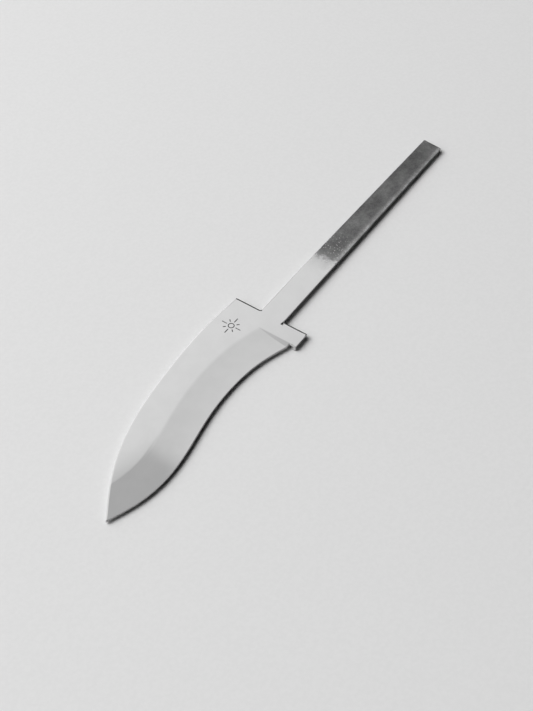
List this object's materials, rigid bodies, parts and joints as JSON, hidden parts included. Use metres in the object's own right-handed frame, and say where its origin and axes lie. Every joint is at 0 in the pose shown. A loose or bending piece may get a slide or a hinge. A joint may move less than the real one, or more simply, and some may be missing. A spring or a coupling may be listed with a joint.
{
  "type": "knife blade blank",
  "caption": "Unhandled polished knife blade blank: recurved ground blade with pointed tip, square shoulders and a long flat stick tang of duller welded steel, ready for a handle.",
  "frame": {"origin": "middle of the tang's root, on the plane of the two shoulders, at half the steel's thickness", "axes": "+X along the tang, away from the blade; +Y from the cutting edge towards the spine; +Z normal to the flats"},
  "size_m": [0.2239, 0.0331, 0.002],
  "materials": {
    "polished_steel": "polished",
    "weld_steel": "satin",
    "dull_steel": "satin"
  },
  "bodies": {
    "root": {"blade": "polished_steel", "weld_seam": "weld_steel", "tang_bar": "dull_steel"}
  },
  "joints": []
}
